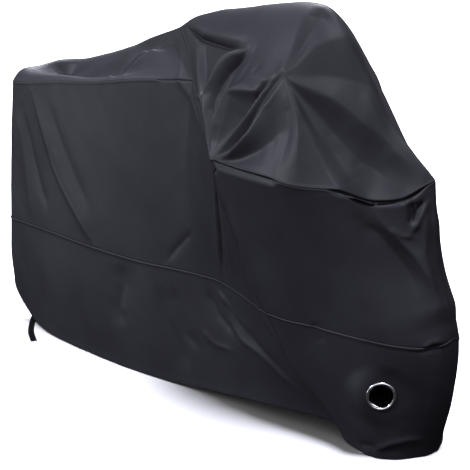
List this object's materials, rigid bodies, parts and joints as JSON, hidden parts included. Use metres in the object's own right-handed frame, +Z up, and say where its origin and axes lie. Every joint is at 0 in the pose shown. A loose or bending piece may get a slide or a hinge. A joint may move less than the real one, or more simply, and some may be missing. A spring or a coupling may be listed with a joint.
{
  "type": "motorcycle cover",
  "caption": "Fitted cloth cover for a motorcycle: a hood over the bars, a saddle strip, side panels and skirts, with metal lock eyelets low at the front and a webbing strap.",
  "frame": {"origin": "on the ground, under the middle of the cover's outline", "axes": "+X towards the front, along the length; +Y towards the far side of the picture; +Z up"},
  "size_m": [2.1454, 0.6726, 1.4211],
  "materials": {
    "cloth": "plain-woven polyester with a thin coating, charcoal with a cold tint, satin",
    "eyelet": "bright plated steel",
    "webbing": "black woven webbing, matte"
  },
  "bodies": {
    "root": {"hood": "cloth", "saddle_strip": "cloth", "rear_side_near": "cloth", "rear_side_far": "cloth", "front_side_near": "cloth", "front_side_far": "cloth", "rear_skirt_near": "cloth", "rear_skirt_far": "cloth", "front_skirt_near": "cloth", "front_skirt_far": "cloth", "lock_eyelet_near": "eyelet", "lock_eyelet_far": "eyelet", "hem_strap": "webbing"}
  },
  "joints": []
}
